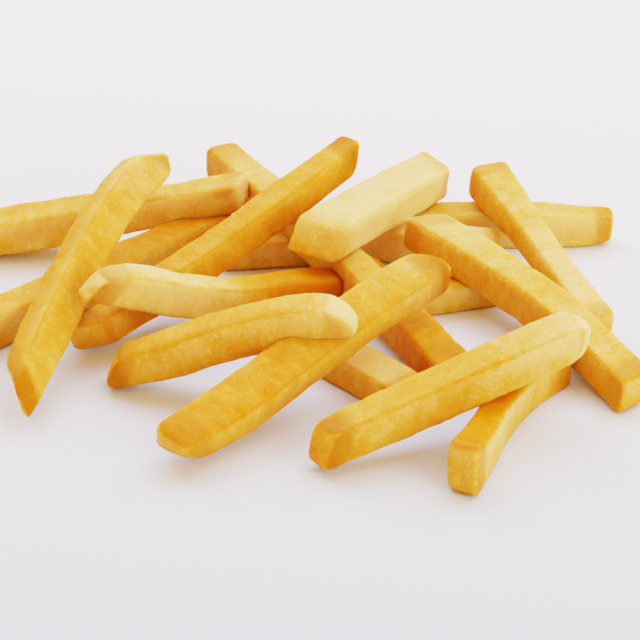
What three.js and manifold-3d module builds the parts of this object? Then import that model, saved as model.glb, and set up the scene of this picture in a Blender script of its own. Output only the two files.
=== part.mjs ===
// A portion of thick-cut french fries, as a loose heap that lies flat on a table.
// Millimetres, +Z up. The origin is on the table, under the middle of the heap.
// +X runs along the heap's long side, +Y to its back.
// The fries are fused into one closed solid with few faces, over a low core that joins them.

import * as THREE from 'three';
import { mergeVertices } from 'three/addons/utils/BufferGeometryUtils.js';
import Module from 'manifold-3d';

// ---- driving dimensions ----

const usualBlend = 8;          // how sharply the faces of a fry meet: high is a crisp edge
const softBlend = 4.5;         // the same, for the two fries with worn, rounded ends
const edgeSpread = 8;          // degrees between a corner and the columns on both sides of it
const endSpread = 7;           // degrees between an end's rim and the rings on both sides of it
const ringStep = 24;           // a ring of vertices for each 24 mm of length
const capRings = 3;            // rings that round off each end
const columns = 8;             // two columns of vertices for each long edge

const core = { at: [17, 24], across: [24, 26], high: 6, sides: 12 };
const tableDepth = 5;          // thickness of the slab that trims the undersides level

// Each fry is a stick from one end to the other.
//   from, to      the middles of its two end faces
//   wide, high    its section
//   roll          degrees that it's turned about its own length
//   bow           how far its middle is pushed out, sideways and up
//   late          moves the deepest part of the bow towards the far end
//   fromCut       slant of the near end's cut, sideways and up
//   toCut         slant of the far end's cut, sideways and up
//   taper         scale of the section at the two ends
//   blend         how sharply its faces meet
const fries = [
  { from: [-57, -43, 6.5], to: [-32, 41, 24.5], wide: 10, high: 9.5,
    roll: 45, bow: [5.5, 0], late: 0.5, fromCut: [0.6, 0.6] },
  { from: [-85, 38, 5.2], to: [-8.5, 47.2, 14.5], wide: 9.5, high: 9, taper: [1.15, 1] },
  { from: [-78, -14, 4.7], to: [-15, 48, 4.7], wide: 10.5, high: 9.5 },
  { from: [-49, -10, 4.7], to: [18.8, 48.5, 24], wide: 8.5, high: 9.5,
    bow: [-2, 0], toCut: [0, -0.4] },
  { from: [-45, -15.3, 20.5], to: [14, 12, 4], wide: 9.5, high: 8.5,
    bow: [0, -2.5], fromCut: [0, 0.6], taper: [0.85, 1] },
  { from: [-41, -27, 4.6], to: [18, -32, 24], wide: 10, high: 9,
    bow: [0, 3], fromCut: [0, 0.6], taper: [0.9, 1.05], blend: softBlend },
  { from: [-25, -60, 5.6], to: [40, -7, 19.5], wide: 12, high: 10.5,
    roll: 20, bow: [0, -1], taper: [0.92, 0.92], blend: softBlend },
  { from: [-18, 72, 12], to: [41, -27, 5.2], wide: 9.5, high: 10,
    bow: [3.5, 0.5], late: 0.4, taper: [1, 1.1] },
  { from: [9, 11, 19.5], to: [40.5, 58.5, 14], wide: 12.5, high: 9.5,
    fromCut: [0, 0.3], taper: [1.1, 0.97] },
  { from: [30, 47, 4.8], to: [86, 46, 4.8], wide: 8.5, high: 10 },
  { from: [9, -62, 5.5], to: [72, -35.5, 21.5], wide: 10.5, high: 10.5,
    fromCut: [0, 0.5], toCut: [0, -0.4], taper: [0.88, 1] },
  { from: [51, 51.5, 15.5], to: [78, -8, 4.6], wide: 9.5, high: 9, bow: [1.5, 0] },
  { from: [34, 24, 14], to: [83, -38, 4.8], wide: 10, high: 10, bow: [3, 0.5] },
  { from: [41, -73, 6.6], to: [68.5, -23, 5.2], wide: 8.5, high: 13,
    bow: [2, 0], toCut: [-0.5, 0], taper: [1.03, 0.85] },
  { from: [15, 40, 4.8], to: [56, 32.5, 4.8], wide: 9, high: 10 },
  { from: [30, 8.5, 3.8], to: [60, 17, 3.8], wide: 9, high: 8 },
  { from: [10, -15, 4], to: [30, -37, 4], wide: 11.5, high: 8.4 },
  { from: [-20, 32, 4.1], to: [-3, 36, 4.1], wide: 9, high: 8.5 },
];

// ---- one fry ----

const degrees = Math.PI / 180;

// The six planes that bound a fry, as [normal, distance] in its own axes: along, sideways, up.
function facePlanes(fry, length) {
  const planes = [
    [[0, 1, 0], fry.wide / 2],
    [[0, -1, 0], fry.wide / 2],
    [[0, 0, 1], fry.high / 2],
    [[0, 0, -1], fry.high / 2],
  ];
  const ends = [[-1, fry.fromCut ?? [0, 0]], [1, fry.toCut ?? [0, 0]]];
  for (const [way, slant] of ends) {
    const size = Math.hypot(1, slant[0], slant[1]);
    planes.push([[way / size, slant[0] / size, slant[1] / size], length / 2 / size]);
  }
  return planes;
}

// How far it is from the point `start` on the fry's spine to its skin, along `way`.
// Each plane gives its own answer, and a power sum of them all rounds the edges.
function distanceToSkin(planes, start, way, blend) {
  let sum = 0;
  for (const [normal, distance] of planes) {
    const facing = normal[0] * way[0] + normal[1] * way[1] + normal[2] * way[2];
    if (facing > 0) {
      sum += (facing / (distance - normal[0] * start)) ** blend;
    }
  }
  return sum ** (-1 / blend);
}

// A capsule's vertices are a spine point and a direction each, so the capsule is pushed
// out along those directions until it meets the planes, then tapered, rolled and bent.
function fryGeometry(fry) {
  const from = new THREE.Vector3(...fry.from);
  const to = new THREE.Vector3(...fry.to);
  const along = to.clone().sub(from);
  const length = along.length();
  along.normalize();
  const sideways = new THREE.Vector3(0, 0, 1).cross(along).normalize();
  const up = along.clone().cross(sideways);
  const middle = from.clone().lerp(to, 0.5);

  const radius = Math.min(fry.wide, fry.high) / 2;
  const spine = length - 2 * radius;
  const rings = Math.max(2, Math.round(length / ringStep));
  const capsule = new THREE.CapsuleGeometry(radius, spine, capRings, columns, rings);
  capsule.rotateY(Math.PI / columns);

  const planes = facePlanes(fry, length);
  const corner = Math.atan2(fry.high, fry.wide);
  const taper = fry.taper ?? [1, 1];
  const bow = fry.bow ?? [0, 0];
  const position = capsule.getAttribute('position');
  for (let i = 0; i < position.count; i += 1) {
    const start = THREE.MathUtils.clamp(position.getY(i), -spine / 2, spine / 2);
    const lean = Math.acos(THREE.MathUtils.clamp((position.getY(i) - start) / radius, -1, 1));
    const turn = Math.atan2(-position.getZ(i), position.getX(i));
    const way = direction(turn, lean, corner);
    const reach = distanceToSkin(planes, start, way, fry.blend ?? usualBlend);
    const part = (start + reach * way[0]) / length;
    const scale = THREE.MathUtils.lerp(1, part < 0 ? taper[0] : taper[1], Math.abs(2 * part));
    const roll = (fry.roll ?? 0) * degrees;
    const across = reach * way[1] * scale;
    const rise = reach * way[2] * scale;
    const arch = (1 - 4 * part * part) * (1 + 2 * (fry.late ?? 0) * part);
    const point = middle.clone()
      .addScaledVector(along, part * length)
      .addScaledVector(sideways, across * Math.cos(roll) - rise * Math.sin(roll) + bow[0] * arch)
      .addScaledVector(up, across * Math.sin(roll) + rise * Math.cos(roll) + bow[1] * arch);
    position.setXYZ(i, point.x, point.y, point.z);
  }
  return capsule;
}

// Columns are drawn together at the four long edges, and rings at the rims of the two ends,
// so that few vertices still give a square stick with a small bevel.
function direction(turn, lean, corner) {
  const quarter = Math.floor(turn / (Math.PI / 2));
  const within = turn - quarter * (Math.PI / 2);
  const edge = quarter % 2 === 0 ? corner : Math.PI / 2 - corner;
  const beside = Math.sign(within - Math.PI / 4) * edgeSpread * degrees;
  const drawnTurn = quarter * (Math.PI / 2) + edge + beside;

  const offAxis = Math.min(lean, Math.PI - lean);
  const rim = 45 * degrees + Math.sign(offAxis - 45 * degrees) * endSpread * degrees;
  let drawnLean = rim;
  if (offAxis < degrees) {
    drawnLean = 0;
  } else if (offAxis > 89 * degrees) {
    drawnLean = 90 * degrees;
  }
  const sign = lean > Math.PI / 2 ? -1 : 1;
  return [
    sign * Math.cos(drawnLean),
    Math.sin(drawnLean) * Math.cos(drawnTurn),
    Math.sin(drawnLean) * Math.sin(drawnTurn),
  ];
}

// ---- the core ----

// A low round mound, flat underneath, hidden where most of the fries cross.
function coreGeometry() {
  const profile = [
    new THREE.Vector2(0, 0),
    new THREE.Vector2(0.5, 0),
    new THREE.Vector2(0.42, 0.7),
    new THREE.Vector2(0.25, 1),
    new THREE.Vector2(0, 1),
  ];
  const mound = new THREE.LatheGeometry(profile, core.sides);
  mound.rotateX(Math.PI / 2);
  mound.scale(core.across[0], core.across[1], core.high);
  mound.translate(core.at[0], core.at[1], 0);
  return mound;
}

// Everything below the table's top, as a slab under the whole heap.
function tableGeometry() {
  const slab = new THREE.BoxGeometry(300, 300, tableDepth);
  slab.translate(0, 0, -tableDepth / 2);
  return slab;
}

// ---- joining ----

const wasm = await Module();
wasm.setup();

function solidOf(geometry) {
  const bare = geometry.clone();
  bare.deleteAttribute('normal');
  bare.deleteAttribute('uv');
  const welded = mergeVertices(bare, 1e-4);
  return new wasm.Manifold(new wasm.Mesh({
    numProp: 3,
    vertProperties: new Float32Array(welded.getAttribute('position').array),
    triVerts: new Uint32Array(welded.getIndex().array),
  }));
}

function geometryOf(solid) {
  const mesh = solid.getMesh();
  const geometry = new THREE.BufferGeometry();
  geometry.setAttribute('position', new THREE.BufferAttribute(mesh.vertProperties, 3));
  geometry.setIndex(new THREE.BufferAttribute(mesh.triVerts, 1));
  geometry.computeVertexNormals();
  return geometry;
}

function heapGeometry() {
  let heap = solidOf(coreGeometry());
  for (const fry of fries) {
    heap = heap.add(solidOf(fryGeometry(fry)));
  }
  return geometryOf(heap.subtract(solidOf(tableGeometry())));
}

// ---- the part ----

const golden = new THREE.MeshStandardMaterial({ color: 0xe6b84e, roughness: 0.55, metalness: 0 });

const heap = new THREE.Mesh(heapGeometry(), golden);
heap.name = 'fries';

const portion = new THREE.Group();
portion.add(heap);

export default portion;
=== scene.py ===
import math

import bpy
import numpy as np
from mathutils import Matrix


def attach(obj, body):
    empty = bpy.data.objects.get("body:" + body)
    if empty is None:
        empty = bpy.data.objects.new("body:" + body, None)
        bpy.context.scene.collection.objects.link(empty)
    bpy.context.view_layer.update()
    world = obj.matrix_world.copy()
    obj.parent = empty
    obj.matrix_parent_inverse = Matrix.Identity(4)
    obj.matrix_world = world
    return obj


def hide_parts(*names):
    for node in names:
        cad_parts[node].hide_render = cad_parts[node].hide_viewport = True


# A portion of thick-cut french fries, as a loose heap on a pale table.
# The dictionaries hold millimetres, or metres where they say so, and Blender's lengths are metres.

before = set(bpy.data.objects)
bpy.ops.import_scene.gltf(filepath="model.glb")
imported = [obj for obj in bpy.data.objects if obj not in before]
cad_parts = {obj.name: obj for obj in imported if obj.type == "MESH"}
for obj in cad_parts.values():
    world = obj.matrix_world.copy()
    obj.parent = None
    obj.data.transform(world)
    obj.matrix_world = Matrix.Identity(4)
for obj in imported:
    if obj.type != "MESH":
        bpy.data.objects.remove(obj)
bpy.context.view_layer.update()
mm = 0.001
floorGap = 0.02          # mm that the lowest points stay above the table
print("frame loaded")


def linear(hexColour):
    # sRGB hex to the linear colour that a shader socket takes
    parts = [int(hexColour[i:i + 2], 16) / 255 for i in (1, 3, 5)]
    return [c / 12.92 if c <= 0.04045 else ((c + 0.055) / 1.055) ** 2.4 for c in parts] + [1.0]


def addNode(tree, kind, settings=None, links=None):
    # one node with its attributes and socket values, and what feeds its sockets
    node = tree.nodes.new(kind)
    for name, value in (settings or {}).items():
        if isinstance(name, str) and hasattr(node, name):
            setattr(node, name, value)
        else:
            node.inputs[name].default_value = value
    for name, source in (links or {}).items():
        tree.links.new(source, node.inputs[name])
    return node


def waves(points, size, seed, count=28, spread=(0.7, 1.6)):
    # A smooth uneven field, about -1 to 1: the sum of plane waves in random directions. Each is
    # `size` long, times a random number from the spread.
    draw = np.random.default_rng(seed)
    directions = draw.normal(size=(count, points.shape[-1]))
    directions /= np.linalg.norm(directions, axis=1)[:, None]
    lengths = size * draw.uniform(*spread, count)
    phases = draw.uniform(0, 2 * math.pi, count)
    total = np.zeros(points.shape[:-1])
    for direction, length, phase in zip(directions, lengths, phases):
        total += np.sin(points @ direction * (2 * math.pi / length) + phase)
    return total / math.sqrt(count)


def smooth(low, high, values):
    # 0 at low and 1 at high, with an S curve between them, whichever of the two is the larger
    part = np.clip((values - low) / (high - low), 0, 1)
    return part * part * (3 - 2 * part)


# Each fry is a stick from the middle of one end to the middle of the other.
#   size     width and height of its section
#   roll     degrees that it's turned about its own length
#   run      stations along it: share of the length, shift sideways and up, scale of width and height
#   cuts     slants of the near and the far end, each sideways and up
#   trims    more cuts: which end (-1 near, 1 far), slant sideways and up, depth below the end's middle
#   blend    how sharply its faces meet: high is a crisp edge
#   dish     how deep its faces have sunk between their edges
#   fade     how much paler it gets towards the near and the far end: partly its own colour, partly painted light and shade where one end lies lit or in shadow
#   tones    how pale its left, top, right and under side and its two ends are: 0 is deep gold, 1 cream; partly the crust's own colour, partly painted light and shade on sides that face towards or away from the lamps
#   toast    browning of the edges, and how much the near and the far tip add to it
fries = {
    "leaning": dict(
        ends=((-59.5, -40.5, 6.5), (-29.6, 46, 26.3)), size=(10, 9.5), roll=56,
        run=((0, 0.3, 0, 0.95, 0.95), (0.25, 2.6, 0, 1.05, 1.05), (0.5, 4.6, 0, 1.05, 1.05),
             (0.75, 5.0, 0, 1.05, 1.05), (0.92, 2.6, 0, 1.15, 1.05), (1, 0.6, 0, 1.1, 1)),
        cuts=((0.57, -1.27), (0.5, 0)), trims=((1, 1.6, 0.4, 0.5), (1, -0.8, 0.8, -0.6)),
        tones=(0.25, 0.35, 0.35, 0.4, 0.6, 0.45), fade=(0.12, 0.4), toast=(0.55, 0.7, 0.15)),
    "backLeft": dict(
        ends=((-85, 38, 5.2), (-9.5, 47.2, 14.5)), size=(9.5, 9), dish=0.7,
        run=((0, 0, 0, 1.3, 1.2), (0.4, 0, -0.2, 1.2, 1.15), (0.7, 0, -0.4, 1.05, 1.07), (1, 0, 0, 1, 1)),
        cuts=((0, 0), (-0.5, 0)),
        tones=(0.4, 0.55, 0.8, 0.4, 0.5, 0.85), fade=(-0.05, 0), toast=(0.4, 0.1, 0.2)),
    "lowLeft": dict(
        ends=((-78, -14, 4.9), (-15, 48, 4.9)), size=(10.5, 10),
        tones=(0.4, 0.45, 0.65, 0.3, 0.4, 0.4), fade=(0.1, -0.3), toast=(0.4, 0.1, 0.1)),
    "rising": dict(
        ends=((-50.5, -12, 4.7), (18, 48.1, 25)), size=(8.5, 9.5),
        run=((0, -3.0, 0, 1, 1), (0.25, -3.4, 0, 1, 1), (0.5, -3.3, 0, 1, 1), (0.75, -1.8, 0, 1, 1),
             (1, 0, 0, 0.95, 0.95)),
        cuts=((0, 0), (0, -0.45)), trims=((-1, -1.2, -0.3, 1.0),),
        tones=(0.6, 0.2, 0.25, 0.3, 0.4, 0.4), fade=(0.08, 0.18), toast=(0.45, 0.2, 0.5)),
    "tipping": dict(
        ends=((-45, -15.3, 20.5), (14, 12, 4)), size=(9.5, 8.5),
        run=((0, 0, 0, 0.8, 0.75), (0.15, 0, 0.4, 1, 1.2), (0.35, 0, -1.5, 1, 1.22), (0.6, 0, -2.3, 1, 1.1),
             (0.85, 0, 0.3, 1, 1.15), (1, 0, 1, 1, 1.1)),
        cuts=((0, 0.6), (0, 0)), blend=3.4,
        tones=(0.7, 0.85, 0.9, 0.4, 0.7, 0.4), fade=(0.1, -1.5), toast=(0.45, 0.6, 0.1)),
    "finger": dict(
        ends=((-39.5, -27, 5.2), (18, -32, 23.4)), size=(10, 10.4), blend=3.4,
        run=((0, 0, 0, 0.85, 0.8), (0.25, 0, 0.2, 1, 0.98), (0.5, 0, 1.5, 1, 1.04), (0.8, 0, 1.2, 1.02, 1.05),
             (1, 0, -0.6, 1, 0.92)),
        cuts=((0, 0.6), (0, 0)), trims=((1, 0, 0.9, 0.2),), dish=0,
        tones=(0.5, 0.4, 0.5, 0.4, 0.2, 0.9), fade=(0.02, 0.25), toast=(0.35, 1, 0)),
    "thick": dict(
        ends=((-24.5, -62.8, 6), (38.6, -7, 20.8)), size=(12, 10.5), roll=20, blend=3.7,
        run=((0, -0.9, 0, 0.96, 0.9), (0.3, -0.3, -0.7, 1.02, 1), (0.5, 0, 0.4, 1, 1), (0.75, 0, 1.6, 1, 1),
             (1, 0, 1.3, 0.94, 0.94)),
        trims=((-1, -0.7, -0.7, -0.6), (1, 1, 0.2, -0.8)), dish=0.2,
        tones=(0.5, 0.25, 0.35, 0.1, 0.3, 0.6), fade=(0.03, 0.3), toast=(0.5, 0.1, 1)),
    "longest": dict(
        ends=((-17.5, 72, 12), (42, -33, 5.2)), size=(9.5, 10),
        run=((0, 0, 0, 1, 1), (0.25, 1.3, 0.4, 1, 1), (0.5, 2.2, 0.5, 1, 1), (0.75, 1.6, 0.3, 1.05, 1),
             (1, 0, 0, 1.1, 1)),
        tones=(0.4, 0.7, 0.5, 0.3, 0.35, 0.4), fade=(0.1, -0.35), toast=(0.4, 0.4, 0.1)),
    "onTop": dict(
        ends=((8.6, 10.6, 19.4), (41, 59, 14)), size=(12.5, 9.5), roll=5, blend=6,
        run=((0, 0, 0, 1.12, 1), (1, 0, 0, 0.97, 1)), cuts=((-0.25, 0.45), (-0.4, 0)),
        tones=(0.7, 1, 1.1, 0.5, 0.75, 0.6), toast=(0.25, 0.05, 0.1)),
    "backRight": dict(
        ends=((30, 47, 4.8), (87, 46, 4.8)), size=(8.5, 10), dish=0.6,
        run=((0, 0, 0, 1, 1), (0.7, 0, 0, 1.1, 1.08), (0.85, 0, 0, 0.95, 1), (1, 0.5, 0.3, 0.75, 0.85)),
        tones=(0.5, 0.65, 1.1, 0.4, 0.4, 0.5), toast=(0.35, 0.1, 0.4)),
    "frontRight": dict(
        ends=((9.2, -62.6, 5.9), (72.8, -35, 21.8)), size=(10.5, 10.5),
        run=((0, -0.4, 0.2, 0.8, 0.9), (0.2, 0, 0.1, 0.93, 0.97), (0.6, 0, 0, 0.98, 1), (1, 0, 0, 1, 1)),
        cuts=((-0.15, 0.45), (0, -0.2)), trims=((1, -1, -0.4, 0), (1, 1, 0, 0), (1, 0, 1, 0)),
        tones=(0.5, 0.4, 0.45, 0.4, 0.05, 1.05), fade=(0.15, 0.4), toast=(0.65, 0.4, 0)),
    "propped": dict(
        ends=((53.2, 53, 16), (78, -8, 4.6)), size=(9.5, 9), dish=0.2,
        run=((0, 0.3, 0, 1.18, 1.12), (0.2, 0.3, 0, 1.06, 1), (0.4, 0.5, 0, 0.88, 0.88),
             (0.65, 0.3, 0, 0.82, 0.82), (1, 0, 0, 0.9, 0.95)),
        tones=(0.65, 0.8, 0.45, 0.4, 0.65, 0.35), fade=(-0.15, 0.2), toast=(0.3, 0.2, 0.2)),
    "bentRight": dict(
        ends=((33.2, 24.8, 14), (83, -38, 4.8)), size=(10, 10),
        run=((0, 3.1, 0, 1.05, 1.05), (0.3, 5.1, 0.4, 1.08, 1.06), (0.5, 5.6, 0.5, 1.08, 1.06),
             (0.8, 3.2, 0.3, 1.05, 1), (1, 0, 0, 1, 1)),
        cuts=((0.5, 0), (0, 0)),
        tones=(0.6, 0.6, 0.35, 0.3, 0.7, 0.45), fade=(0.2, 0.05), toast=(0.45, 0.1, 0.3)),
    "onEdge": dict(
        ends=((41, -73, 6.8), (68.5, -23, 5.2)), size=(8.5, 13),
        run=((0, 0, 0, 1.03, 1.05), (0.25, 1.8, -0.8, 0.9, 0.9), (0.5, 4.0, -1.2, 0.85, 0.8),
             (0.75, 3.5, -1.0, 0.82, 0.78), (1, 0, -0.5, 0.85, 0.78)),
        cuts=((0, 0), (-0.5, 0)),
        tones=(0.5, -0.15, 0.75, 0.4, 0.55, 0.4), fade=(0, -0.2), toast=(0.5, 0.15, 0.2)),
    "underTop": dict(
        ends=((15, 40, 4.8), (56, 32.5, 4.8)), size=(9, 10),
        tones=(0.4, 1.15, 1.15, 0.3, 0.4, 0.4), toast=(0.2, 0.1, 0.2)),
    "underRight": dict(
        ends=((30, 8.5, 3.8), (60, 17, 3.8)), size=(9, 8),
        tones=(0.4, 0.55, 0.75, 0.3, 0.4, 0.4), toast=(0.2, 0.2, 0.2)),
    "underThick": dict(
        ends=((10, -15, 4), (30, -37, 4)), size=(11.5, 8.4),
        tones=(0.4, 1, 0.4, 0.3, 0.4, 0.4), toast=(0.3, 0.2, 0.2)),
    "hidden": dict(
        ends=((-16, 33, 4.1), (12, 36.5, 4.1)), size=(9, 8.5),
        tones=(0.3, 0.3, 0.75, 0.3, 0.3, 0.3), toast=(0.2, 0.2, 0.2)),
}

# what a fry has where its own entry doesn't say: square ends, no bends and an even section
usual = dict(
    roll=0, run=((0, 0, 0, 1, 1), (1, 0, 0, 1, 1)), cuts=((0, 0), (0, 0)), trims=(),
    blend=4.6, dish=0.4, fade=(0, 0),
)

skin = dict(
    columnStep=0.5,      # mm between the columns of vertices round a fry
    rowStep=0.55,        # mm between its rows
    endStretch=1.5,      # an end has rows for this many times half its thickness
    wander=0.03,         # share of the thickness that the long faces move in and out along the fry
    wanderWaves=dict(size=30, count=6),
    dishVaries=0.5,      # share of the dish that varies over the skin
    dishWaves=dict(size=18, count=8),
    dishPower=6,         # the higher, the more a face's dish keeps to that face
    endDish=0.5,         # depth of the ends' dish, as a share of the long faces'
    lumps=((9.0, 0.10), (4.0, 0.05), (1.6, 0.03), (0.9, 0.02)),   # size and height of the relief, mm
    edge=(0.7, 1.0),     # where the edges' shade begins and is full: 0 is mid-face, 1 the edge itself
    rim=(0.92, 1.0),     # the same for the toast, which keeps close to the edge
    toneStep=8,          # the higher, the more sharply one side's tone gives way to the next
    paintedLowerShade=0.25,         # painted shade: paleness that a side face loses from its middle to its lower edge, and gains towards its upper edge
    fade=(0.1, 0.45),    # a fade begins this far before the middle and is full this far past it, in lengths
    tip=8,               # mm from an end in which the tip's toast comes in
)
seeds = dict(fry=100, dish=11, lumps=20)   # what the random draws add from fry to fry and in each use
streakShift = 7.0        # a fry's seed over this sets its streaks apart from the other fries'
longFaces = 4            # a fry's planes start with its long faces
mainFaces = 6            # and its two ends, and the trims follow


def fryAxes(spec):
    # a fry's middle, its directions along, sideways and up, and its length
    near, far = (np.array(p, float) for p in spec["ends"])
    along = far - near
    length = np.linalg.norm(along)
    along /= length
    side = np.cross((0, 0, 1), along)
    side /= np.linalg.norm(side)
    return (near + far) / 2, along, side, np.cross(along, side), length


def fryPlanes(spec, length):
    # the planes that bound a fry, as normals (along, sideways, up) and distances from its middle
    wide, high = spec["size"]
    normals = [(0, 1, 0), (0, -1, 0), (0, 0, 1), (0, 0, -1)]
    distances = [wide / 2, wide / 2, high / 2, high / 2]
    for way, slant in zip((-1, 1), spec["cuts"]):
        reach = math.hypot(1, *slant)
        normals.append((way / reach, slant[0] / reach, slant[1] / reach))
        distances.append(length / 2 / reach)
    for way, sideways, upward, depth in spec["trims"]:
        reach = math.hypot(1, sideways, upward)
        normals.append((way / reach, sideways / reach, upward / reach))
        distances.append(length / 2 / reach - depth)
    return np.array(normals), np.array(distances)


def alongRun(share, stations):
    # a smooth curve through the stations: a cubic in each gap, with the slopes of its neighbours
    stations = np.array(stations, float)
    places, values = stations[:, 0], stations[:, 1:]
    slopes = np.gradient(values, places, axis=0)
    gap = np.clip(np.searchsorted(places, share) - 1, 0, len(places) - 2)
    wide = places[gap + 1] - places[gap]
    t = np.clip((share - places[gap]) / wide, 0, 1)[..., None]
    wide = wide[..., None]
    return ((2 * t ** 3 - 3 * t ** 2 + 1) * values[gap] + (t ** 3 - 2 * t ** 2 + t) * wide * slopes[gap]
            + (3 * t ** 2 - 2 * t ** 3) * values[gap + 1] + (t ** 3 - t ** 2) * wide * slopes[gap + 1])


def fryShape(spec, seed):
    # Rays leave a short spine inside the fry: two parameters, the row along it and the column
    # round it. Each plane gives a distance along the ray, and a power sum of them all rounds the
    # edges. Then come the dish and the relief, and the run's taper, the roll and the run's bends.
    middle, along, side, up, length = fryAxes(spec)
    wide, high = spec["size"]
    half = np.array([wide, high]) / 2
    radius = half.min()
    spineEnd = length / 2 - radius
    endRows = int(radius * skin["endStretch"] / skin["rowStep"])
    midRows = int(2 * spineEnd / skin["rowStep"])
    lean = np.linspace(0, math.pi / 2, endRows + 1)[1:]
    starts = np.concatenate([np.full(endRows, -spineEnd),
                             np.linspace(-spineEnd, spineEnd, midRows + 1)[1:-1],
                             np.full(endRows, spineEnd)])
    leans = np.concatenate([lean, np.full(midRows - 1, math.pi / 2), lean[::-1]])
    ways = np.concatenate([np.full(endRows, -1.0), np.ones(midRows - 1 + endRows)])
    columns = 4 * int((wide + high) / 2 / skin["columnStep"])
    turns = np.linspace(0, 2 * math.pi, columns, endpoint=False)

    start, turn = np.meshgrid(starts, turns, indexing="ij")
    tilt, _ = np.meshgrid(leans, turns, indexing="ij")
    way, _ = np.meshgrid(ways, turns, indexing="ij")
    rays = np.stack([way * np.cos(tilt), np.sin(tilt) * np.cos(turn), np.sin(tilt) * np.sin(turn)], -1)
    # the first and last rows are poles, with all their points in one place
    rays = np.concatenate([np.zeros((1, columns, 3)), rays, np.zeros((1, columns, 3))])
    rays[0, :, 0], rays[-1, :, 0] = -1, 1
    start = np.concatenate([start[:1], start, start[-1:]])

    normals, distances = fryPlanes(spec, length)
    spinePoints = start[..., None] * np.array([1.0, 0, 0])
    total = np.zeros(start.shape)
    for i, (normal, distance) in enumerate(zip(normals, distances)):
        facing = np.maximum(rays @ normal, 0)
        room = distance - normal[0] * start
        if i < longFaces:
            room = room * (1 + skin["wander"] * waves(spinePoints, seed=seed + i, **skin["wanderWaves"]))
        total += (facing / room) ** spec["blend"]
    points = rays * (total ** (-1 / spec["blend"]))[..., None]
    points[..., 0] += start

    # long faces and ends sink a little between their edges
    local = points / np.array([length / 2, *half])
    uneven = waves(points, seed=seed + seeds["dish"], **skin["dishWaves"])
    dish = spec["dish"] * (1 + skin["dishVaries"] * uneven)
    inner = 1 - np.clip(np.abs(local), 0, 1) ** 2
    sink = np.stack([skin["endDish"] * inner[..., 1] * inner[..., 2], inner[..., 2], inner[..., 1]], -1)
    points = points - np.sign(local) * sink * np.abs(local) ** skin["dishPower"] * dish[..., None]

    # relief of the crust
    relief = sum(height * waves(points, size, seed + seeds["lumps"] + k)
                 for k, (size, height) in enumerate(skin["lumps"]))
    points = points + rays * relief[..., None]

    # for the colours: closeness to an edge, and how pale and how toasted each point is
    facing = np.stack([np.maximum(points @ n, 0) / d for n, d in zip(normals[:mainFaces], distances)])
    closeness = np.sort(facing, 0)[-2] * 2 ** (1 / spec["blend"])
    edge, rim = smooth(*skin["edge"], closeness), smooth(*skin["rim"], closeness)
    shares = facing ** skin["toneStep"]
    shares /= shares.sum(0)
    left, top, right, under, nearTone, farTone = spec["tones"]
    pale = np.tensordot(np.array([left, right, top, under, nearTone, farTone]), shares, 1)
    # painted shade: the side faces get deeper towards their lower edges and paler towards their upper ones,
    # and the top and under side stay even
    topShare, underShare = shares[2], shares[3]
    pale = pale + skin["paintedLowerShade"] * (np.clip(local[..., 2], -1, 1) - topShare + underShare)
    part = points[..., 0] / length
    # the fade along the fry is partly painted light and shade, where one end lies lit or in shadow
    nearFade, farFade = spec["fade"]
    begin, full = skin["fade"]
    pale = pale + nearFade * smooth(begin, -full, part) + farFade * smooth(-begin, full, part)
    edgeToast, nearToast, farToast = spec["toast"]
    tipStart = length / 2 - skin["tip"]
    nearTip = nearToast * smooth(-tipStart, -length / 2, points[..., 0])
    farTip = farToast * smooth(tipStart, length / 2, points[..., 0])
    toast = rim * (edgeToast + nearTip + farTip)

    # the fry's own chart, for its streaks: mm along it, mm round it, and its distance from others
    around = np.arange(columns) * (2 * (wide + high) / columns)
    chart = np.stack(np.broadcast_arrays(points[..., 0], around, seed / streakShift), -1)

    run = alongRun(part + 0.5, spec["run"])
    across, rise = points[..., 1] * run[..., 2], points[..., 2] * run[..., 3]
    roll = math.radians(spec["roll"])
    sideways = across * math.cos(roll) - rise * math.sin(roll) + run[..., 0]
    upwards = across * math.sin(roll) + rise * math.cos(roll) + run[..., 1]
    placed = middle + points[..., :1] * along + sideways[..., None] * side + upwards[..., None] * up
    return placed, dict(edge=edge, toast=toast, pale=pale, chart=chart)


def flat(grid):
    # a grid's rows as one list, where each pole's row gives a single entry
    return np.concatenate([grid[:1, 0], grid[1:-1].reshape(-1, *grid.shape[2:]), grid[-1:, 0]])


def gridFaces(rows, columns, first):
    # quads between the rows, and a fan at each pole, for a flattened grid that starts at `first`
    ring = np.arange(columns)
    nextRing = (ring + 1) % columns
    rowStart = first + 1 + np.arange(rows - 3)[:, None] * columns
    quads = np.stack([rowStart + ring, rowStart + nextRing,
                      rowStart + columns + nextRing, rowStart + columns + ring], -1).reshape(-1, 4)
    last = first + 1 + (rows - 2) * columns
    lastRing = last - columns
    nearFan = np.stack([np.full(columns, first), first + 1 + nextRing, first + 1 + ring], -1)
    farFan = np.stack([np.full(columns, last), lastRing + ring, lastRing + nextRing], -1)
    return quads.tolist() + nearFan.tolist() + farFan.tolist()


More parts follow.
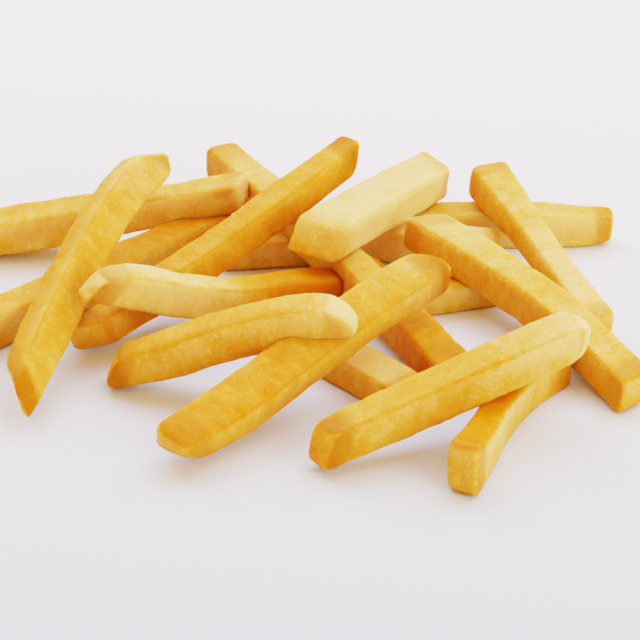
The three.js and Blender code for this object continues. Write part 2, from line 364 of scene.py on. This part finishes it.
crust = dict(
    cream="#EDCB84",                # the palest skin
    gold="#DCA140",                 # the usual skin
    deep="#D27C08",                 # deep gold where the paleness is lowest: partly the crust's own colour, partly painted shade on shaded sides and lower edges
    brown="#B06A08",                # toasted edges and tips
    mottle=(6.0, 3, 0.55),          # patches: size in mm, detail and roughness of the pattern
    streaks=(2.0, 2, 0.5),          # streaks across a fry, with their size along it
    grain=(0.9, 2, 0.6),            # the granules of the crust
    pores=(0.35, 2, 0.6),           # the finest roughness
    streakShape=0.35,               # a streak's size along the fry over its size round it
    shares=dict(mottle=0.65, streaks=0.5, pores=0.5),   # of each pattern in the paleness
    balance=-0.88,                  # brings the paleness back to the side's own
    specks=(0.56, 0.7, 0.26),       # the grain from here to here gives specks, this much paler
    edgeShade=-0.08,                # edges are a little deeper
    goldStreaks=(0.5, 0.75, 0.3),   # the streaks from here to here turn gold, by this share
    toasting=(1.6, 0.1),            # the toast follows the patches by this much, plus this
    relief=dict(grain=0.6, pores=0.25),   # of each pattern in the bump
    bump=(0.8, 0.35),               # strength, and height in mm
    glow=(1.0, 0.45, 0.1),          # how far red, green and blue light travel inside
    glowDepth=6.0,                  # mm that a 1 stands for
    glowShare=0.8,                  # how much of the light goes inside
    ior=1.4, roughness=0.5, sheen=0.15,
)


def friedPotato():
    # Fried potato: a thin dry crust over a moist inside. The eye gets a soft yellow glow with
    # small pale granules, toasted edges and tips, and a faint sheen of oil.
    material = bpy.data.materials.new("friedPotato")
    material.use_nodes = True
    tree = material.node_tree
    tree.nodes.clear()

    # what the vertices say, and the patterns: streaks on the fry's own chart, the others in space
    given = {name: addNode(tree, "ShaderNodeAttribute", {"attribute_name": name})
             for name in ("edge", "toast", "pale", "chart")}
    place = addNode(tree, "ShaderNodeTexCoord").outputs["Object"]
    placeMm = addNode(tree, "ShaderNodeMapping", {"Scale": (1 / mm, 1 / mm, 1 / mm)}, {"Vector": place})
    patterns = {}
    for name in ("mottle", "streaks", "grain", "pores"):
        size, detail, rough = crust[name]
        source, shape = (given["chart"], crust["streakShape"]) if name == "streaks" else (placeMm, 1)
        scaled = addNode(tree, "ShaderNodeMapping", {"Scale": (1 / size, shape / size, 1 / size)},
                         {"Vector": source.outputs["Vector"]})
        noise = addNode(tree, "ShaderNodeTexNoise", {"Scale": 1.0, "Detail": detail, "Roughness": rough},
                        {"Vector": scaled.outputs["Vector"]})
        patterns[name] = noise.outputs["Fac"]

    # paleness: the side's own tone, which holds painted light and shade, with patches, streaks and pores,
    # pale specks and deeper edges
    low, high, most = crust["specks"]
    specks = addNode(tree, "ShaderNodeMapRange", {"From Min": low, "From Max": high, "To Max": most},
                     {"Value": patterns["grain"]})
    layers = [(patterns[name], share) for name, share in crust["shares"].items()]
    layers += [(specks.outputs["Result"], 1.0), (given["edge"].outputs["Fac"], crust["edgeShade"])]
    pale = given["pale"].outputs["Fac"]
    for layer, share in layers:
        pale = addNode(tree, "ShaderNodeMath", {"operation": "MULTIPLY_ADD", 1: share},
                       {0: layer, 2: pale}).outputs["Value"]
    pale = addNode(tree, "ShaderNodeMath", {"operation": "ADD", 1: crust["balance"]}, {0: pale})
    ramp = addNode(tree, "ShaderNodeValToRGB", links={"Fac": pale.outputs["Value"]})
    stops = ramp.color_ramp.elements
    stops[0].color, stops[1].color = linear(crust["deep"]), linear(crust["cream"])
    stops.new(0.5).color = linear(crust["gold"])

    # some streaks stay golden on pale skin, and the toast is uneven
    low, high, most = crust["goldStreaks"]
    golden = addNode(tree, "ShaderNodeMapRange", {"From Min": low, "From Max": high, "To Max": most},
                     {"Value": patterns["streaks"]})
    streaked = addNode(tree, "ShaderNodeMix", {"data_type": "RGBA", "B": linear(crust["gold"])},
                       {"Factor": golden.outputs["Result"], "A": ramp.outputs["Color"]})
    follows, always = crust["toasting"]
    uneven = addNode(tree, "ShaderNodeMath", {"operation": "MULTIPLY_ADD", 1: follows, 2: always},
                     {0: patterns["mottle"]})
    toasting = addNode(tree, "ShaderNodeMath", {"operation": "MULTIPLY"},
                       {0: uneven.outputs["Value"], 1: given["toast"].outputs["Fac"]})
    colour = addNode(tree, "ShaderNodeMix", {"data_type": "RGBA", "B": linear(crust["brown"])},
                     {"Factor": toasting.outputs["Value"], "A": streaked.outputs["Result"]})

    height = addNode(tree, "ShaderNodeMath", {"operation": "MULTIPLY", 1: crust["relief"]["grain"]},
                     {0: patterns["grain"]})
    height = addNode(tree, "ShaderNodeMath", {"operation": "MULTIPLY_ADD", 1: crust["relief"]["pores"]},
                     {0: patterns["pores"], 2: height.outputs["Value"]})
    strength, tall = crust["bump"]
    bump = addNode(tree, "ShaderNodeBump", {"Strength": strength, "Distance": tall * mm},
                   {"Height": height.outputs["Value"]})
    skinShader = addNode(tree, "ShaderNodeBsdfPrincipled", {
        "IOR": crust["ior"], "Roughness": crust["roughness"], "Specular IOR Level": crust["sheen"],
        "Subsurface Weight": crust["glowShare"], "Subsurface Radius": crust["glow"],
        "Subsurface Scale": crust["glowDepth"] * mm,
    }, {"Base Color": colour.outputs["Result"], "Normal": bump.outputs["Normal"]})
    addNode(tree, "ShaderNodeOutputMaterial", links={"Surface": skinShader.outputs["BSDF"]})
    return material


crustMaterial = friedPotato()
print("crust mixed")


def crustPiece(name, places, faces, attributes):
    # a mesh from millimetres, with the numbers that the crust's colours read at each vertex
    mesh = bpy.data.meshes.new(name)
    mesh.from_pydata((places * mm).tolist(), [], faces)
    for key, values in attributes.items():
        kind, field = ("FLOAT_VECTOR", "vector") if values.ndim == 2 else ("FLOAT", "value")
        layer = mesh.attributes.new(key, kind, "POINT")
        layer.data.foreach_set(field, values.astype(np.float32).ravel())
    mesh.polygons.foreach_set("use_smooth", [True] * len(mesh.polygons))
    mesh.materials.append(crustMaterial)
    mesh.update()
    piece = bpy.data.objects.new(name, mesh)
    bpy.context.collection.objects.link(piece)
    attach(piece, "root")
    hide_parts("fries")
    print(f"{name}: {len(mesh.polygons)} faces")


def buildFries(name, members):
    # several fries as one mesh, none of them below the table
    vertices, faces, first = [], [], 0
    attributes = {"edge": [], "toast": [], "pale": [], "chart": []}
    for member in members:
        seed = seeds["fry"] * (list(fries).index(member) + 1)
        placed, values = fryShape({**usual, **fries[member]}, seed)
        vertices.append(flat(placed))
        for key, grid in values.items():
            attributes[key].append(flat(grid))
        faces += gridFaces(*placed.shape[:2], first)
        first += len(vertices[-1])
    places = np.concatenate(vertices)
    places[:, 2] = np.maximum(places[:, 2], floorGap)
    crustPiece(name, places, faces, {key: np.concatenate(grids) for key, grids in attributes.items()})


# one piece for each kind of fry
kinds = {
    "friesLong": ("longest", "leaning", "rising", "thick"),
    "friesStraight": ("backLeft", "lowLeft", "backRight", "propped", "frontRight"),
    "friesBent": ("tipping", "finger", "bentRight", "onEdge"),
    "friesShort": ("onTop", "underTop", "underRight", "underThick", "hidden"),
}
for kindName, members in kinds.items():
    buildFries(kindName, members)

core = dict(
    at=(17, 24),         # mm, its middle
    across=(24, 26),     # mm
    high=6,              # mm
    rings=13,            # rings of vertices from its rim to next to its peak
    sides=48,            # vertices in a ring
    power=4,             # how square its shoulder is
    shoulder=0.98,       # height of its top before the peak, as a share
    lumps=dict(size=5, seed=3),   # mm
    lumpHeight=0.25,     # mm
    # its deep, slightly toasted colour is painted shade for the crevices where the mound shows between the
    # fries
    toast=0.2, pale=0.2,
)


def buildCore():
    # A low mound on an oval: two parameters, the share of the way out from its middle and the turn
    # round it. Its height falls off as the fourth power of that share, with low lumps towards the peak.
    share, turn = np.meshgrid(np.linspace(1, 0, core["rings"], endpoint=False),
                              np.linspace(0, 2 * math.pi, core["sides"], endpoint=False), indexing="ij")
    mound = np.stack([core["at"][0] + core["across"][0] / 2 * share * np.cos(turn),
                      core["at"][1] + core["across"][1] / 2 * share * np.sin(turn),
                      floorGap + core["high"] * (1 - share ** core["power"]) * core["shoulder"]], -1)
    mound[..., 2] += core["lumpHeight"] * waves(mound, **core["lumps"]) * (1 - share)
    foot, peak = (*core["at"], floorGap), (*core["at"], core["high"])
    places = np.concatenate([[foot], mound.reshape(-1, 3), [peak]])
    faces = gridFaces(core["rings"] + 2, core["sides"], 0)
    even = np.ones(len(places))
    crustPiece("friesCore", places, faces,
               dict(edge=0 * even, toast=core["toast"] * even, pale=core["pale"] * even, chart=places))
    print("core built")


buildCore()

table = dict(
    front="#BCD4F0",     # painted light: a darker, bluer white near the front, where less of the lamps' light falls
    back="#F8FCFF",
    fade=(-0.25, 0.2),   # m, from the one to the other
    size=3.0,            # m
    roughness=0.8, gloss=0.2,
)


def buildTable():
    # Matt paint on a flat board: it scatters the light with hardly any gloss, so shadows lie soft. Its colour
    # runs from a darker, bluer white at the front to a brighter one at the back: painted falloff of the light
    # from the back.
    material = bpy.data.materials.new("mattPaint")
    material.use_nodes = True
    tree = material.node_tree
    shader = tree.nodes["Principled BSDF"]
    place = addNode(tree, "ShaderNodeTexCoord").outputs["Object"]
    depth = addNode(tree, "ShaderNodeSeparateXYZ", links={"Vector": place}).outputs["Y"]
    low, high = table["fade"]
    share = addNode(tree, "ShaderNodeMapRange", {"From Min": low, "From Max": high}, {"Value": depth})
    ramp = addNode(tree, "ShaderNodeValToRGB", links={"Fac": share.outputs["Result"]})
    ramp.color_ramp.elements[0].color = linear(table["front"])
    ramp.color_ramp.elements[1].color = linear(table["back"])
    tree.links.new(ramp.outputs["Color"], shader.inputs["Base Color"])
    shader.inputs["Roughness"].default_value = table["roughness"]
    shader.inputs["Specular IOR Level"].default_value = table["gloss"]
    half = table["size"] / 2
    corners = [(-half, -half, 0), (half, -half, 0), (half, half, 0), (-half, half, 0)]
    mesh = bpy.data.meshes.new("table")
    mesh.from_pydata(corners, [], [(0, 1, 2, 3)])
    mesh.materials.append(material)
    floor = bpy.data.objects.new("table", mesh)
    bpy.context.collection.objects.link(floor)


def aimed(thing, place, target):
    # puts a light or camera at `place` and turns it towards `target`
    thing.location = place
    way = thing.location.copy()
    way.x, way.y, way.z = (t - p for t, p in zip(target, place))
    thing.rotation_euler = way.to_track_quat("-Z", "Y").to_euler()


# places and sizes in metres
lamps = {
    "backLeft": dict(place=(-0.42, 0.62, 0.80), size=1.0, watts=5.6, colour="#CFE2FF"),
    "backRight": dict(place=(0.50, 0.45, 0.90), size=1.2, watts=6.9, colour="#CFE2FF"),
    "frontRight": dict(place=(0.85, -0.70, 0.50), size=0.9, watts=4.8, colour="#FFF5E8"),
    "frontLeft": dict(place=(-0.70, -0.75, 0.45), size=1.1, watts=0.7, colour="#FFF5E8"),
}
lampsAim = (0, 0, 0.01)
sky = dict(colour="#FFBE70", strength=0.5)


def buildLights():
    for name, values in lamps.items():
        data = bpy.data.lights.new(name, "AREA")
        data.shape = "DISK"
        data.size = values["size"]
        data.energy = values["watts"]
        data.color = linear(values["colour"])[:3]
        lamp = bpy.data.objects.new(name, data)
        bpy.context.collection.objects.link(lamp)
        aimed(lamp, values["place"], lampsAim)
    world = bpy.data.worlds.new("sky")
    bpy.context.scene.world = world
    world.use_nodes = True
    background = world.node_tree.nodes["Background"]
    background.inputs["Color"].default_value = linear(sky["colour"])
    background.inputs["Strength"].default_value = sky["strength"]


view = dict(
    target=(10, -16, 12),   # mm
    distance=550,           # mm
    elevation=30,           # degrees above the table
    lens=130,               # mm
    nearest=10,             # mm, the closest thing that is drawn
)


def buildCamera():
    data = bpy.data.cameras.new("camera")
    data.lens = view["lens"]
    data.clip_start = view["nearest"] * mm
    camera = bpy.data.objects.new("camera", data)
    bpy.context.collection.objects.link(camera)
    target = [v * mm for v in view["target"]]
    rise = math.radians(view["elevation"])
    back = view["distance"] * mm
    place = (target[0], target[1] - back * math.cos(rise), target[2] + back * math.sin(rise))
    aimed(camera, place, target)
    bpy.context.scene.camera = camera


film = dict(transform="Filmic", look="High Contrast", exposure=1.05)

buildTable()
buildLights()
buildCamera()
bpy.context.scene.view_settings.view_transform = film["transform"]
bpy.context.scene.view_settings.look = film["look"]
bpy.context.scene.view_settings.exposure = film["exposure"]
print("stage built")
